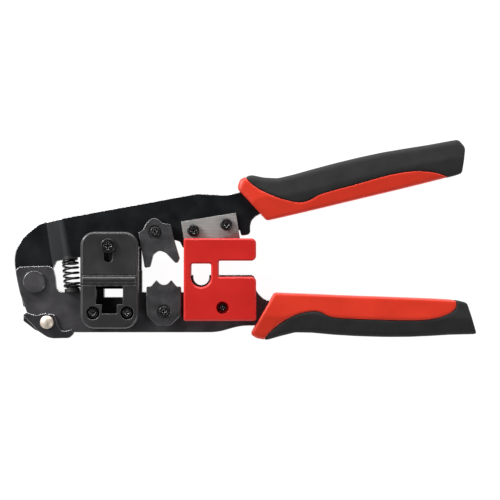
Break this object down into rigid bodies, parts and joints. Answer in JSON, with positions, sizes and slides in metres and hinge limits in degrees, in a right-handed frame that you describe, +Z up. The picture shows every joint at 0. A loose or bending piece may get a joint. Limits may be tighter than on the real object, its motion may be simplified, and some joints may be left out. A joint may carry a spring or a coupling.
{
  "type": "crimping tool",
  "caption": "Hand crimping tool with two hinged levers, plug crimping housing, terminal dies, cable cutter and stripper in a guard, return spring, latch and soft grips.",
  "frame": {"origin": "on the pivot axis, at the back head of the rivet, where the tool lies on a table", "axes": "+X from the pivot towards the handles, +Y from the lower lever to the upper one, +Z up through the tool's thickness to its working face"},
  "size_m": [0.207, 0.0891, 0.0165],
  "materials": {
    "arm_black": "black-oxide steel, satin",
    "housing_black": "black satin coated casting",
    "die_steel": "dark hardened steel",
    "blade_steel": "ground bright steel",
    "bright_rivet": "nickel plated",
    "screw_black": "black zinc",
    "spring_steel": "dark spring steel",
    "nest_plastic": "black moulded",
    "guard_red": "deep red, satin",
    "grip_red": "orange red hard core",
    "grip_black": "soft black overlay"
  },
  "bodies": {
    "lower_frame": {"lower_arm": "arm_black", "pivot_rivet": "arm_black", "pivot_washer": "bright_rivet", "return_spring": "spring_steel", "spring_seat_lower": "nest_plastic", "latch_rivet": "bright_rivet", "latch_washer": "bright_rivet", "die_housing_front": "housing_black", "die_housing_back": "housing_black", "plug_nest": "nest_plastic", "housing_screws": "screw_black", "housing_nuts": "screw_black", "lower_crimp_die": "die_steel", "lower_die_screw": "screw_black", "guard_front": "guard_red", "guard_back": "guard_red", "guard_screw": "screw_black", "guard_nut": "screw_black", "lower_grip_core": "grip_red", "lower_grip_overlay": "grip_black"},
    "upper_lever": {"upper_arm": "arm_black", "spring_seat_upper": "nest_plastic", "upper_crimp_die": "die_steel", "upper_die_screw": "screw_black", "cutter_blade": "blade_steel", "blade_screws": "screw_black", "upper_grip_core": "grip_red", "upper_grip_overlay": "grip_black"},
    "plunger": {"crimp_plunger": "die_steel", "contact_teeth": "blade_steel", "strain_relief_bar": "nest_plastic", "plunger_screw": "screw_black", "plunger_nut": "screw_black"},
    "latch": {"latch_lever": "arm_black"}
  },
  "joints": [
    {"name": "handle_close", "type": "hinge", "parent": "lower_frame", "child": "upper_lever", "pos_m": [0, 0, 0.0075], "axis": [0, 0, -1], "range_deg": [0, 9], "stiffness_Nm_per_rad": 1.1, "springref_deg": -17.19, "deforming": ["return_spring"]},
    {"name": "plunger_slide", "type": "slide", "parent": "lower_frame", "child": "plunger", "axis": [0, -1, 0], "range_m": [0, 0.00546]},
    {"name": "latch_turn", "type": "hinge", "parent": "lower_frame", "child": "latch", "pos_m": [0.0057, -0.018, 0.0075], "axis": [0, 0, -1], "range_deg": [0, 16]}
  ],
  "couplings": [
    {"joint": "plunger_slide", "follows": "handle_close", "m_per_rad": 0.03474}
  ]
}
